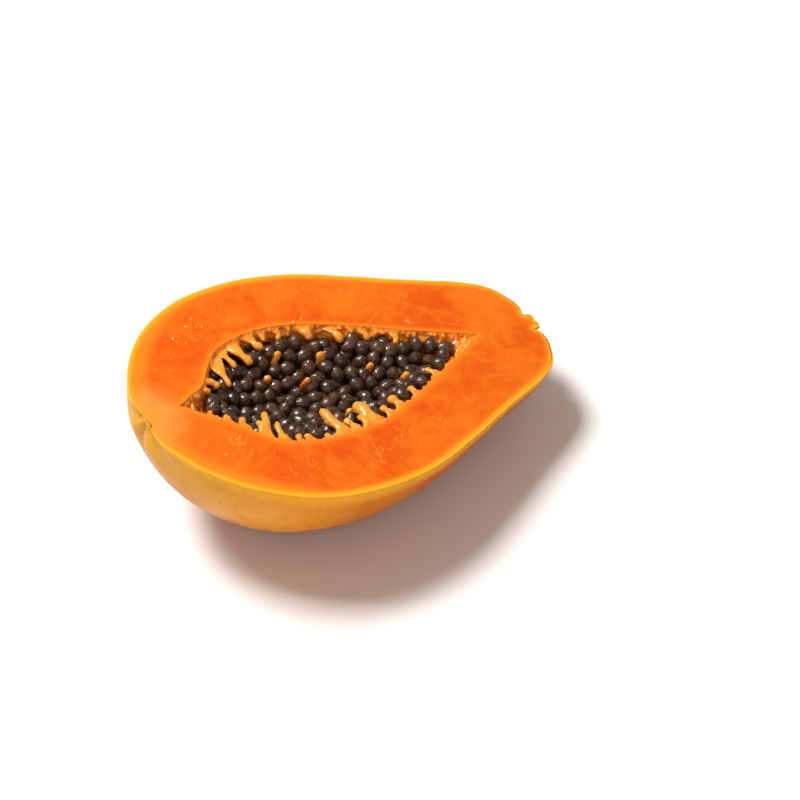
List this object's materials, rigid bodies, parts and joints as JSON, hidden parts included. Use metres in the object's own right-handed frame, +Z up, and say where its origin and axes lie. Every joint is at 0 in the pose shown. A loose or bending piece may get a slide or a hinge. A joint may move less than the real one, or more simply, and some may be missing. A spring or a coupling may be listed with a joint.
{
  "type": "papaya half",
  "caption": "Half of a ripe papaya, cut lengthwise and lying cut face up on a flat spot of its skin, with its hollow full of dark seeds.",
  "frame": {"origin": "centre of the bounding box at its bottom, on the surface that the fruit lies on", "axes": "+X towards the stem end in plan, +Z up; the cut face is tipped 11 degrees down towards +X and 7 degrees up towards +Y"},
  "size_m": [0.1854, 0.1228, 0.072],
  "materials": {
    "flesh": "moist orange flesh, satin",
    "skin": "waxy yellow-orange skin, satin",
    "pulp": "soft amber pulp, moist",
    "seeds": "wet, nearly black"
  },
  "bodies": {
    "root": {"papaya_half": "flesh", "seeds": "seeds"}
  },
  "joints": []
}
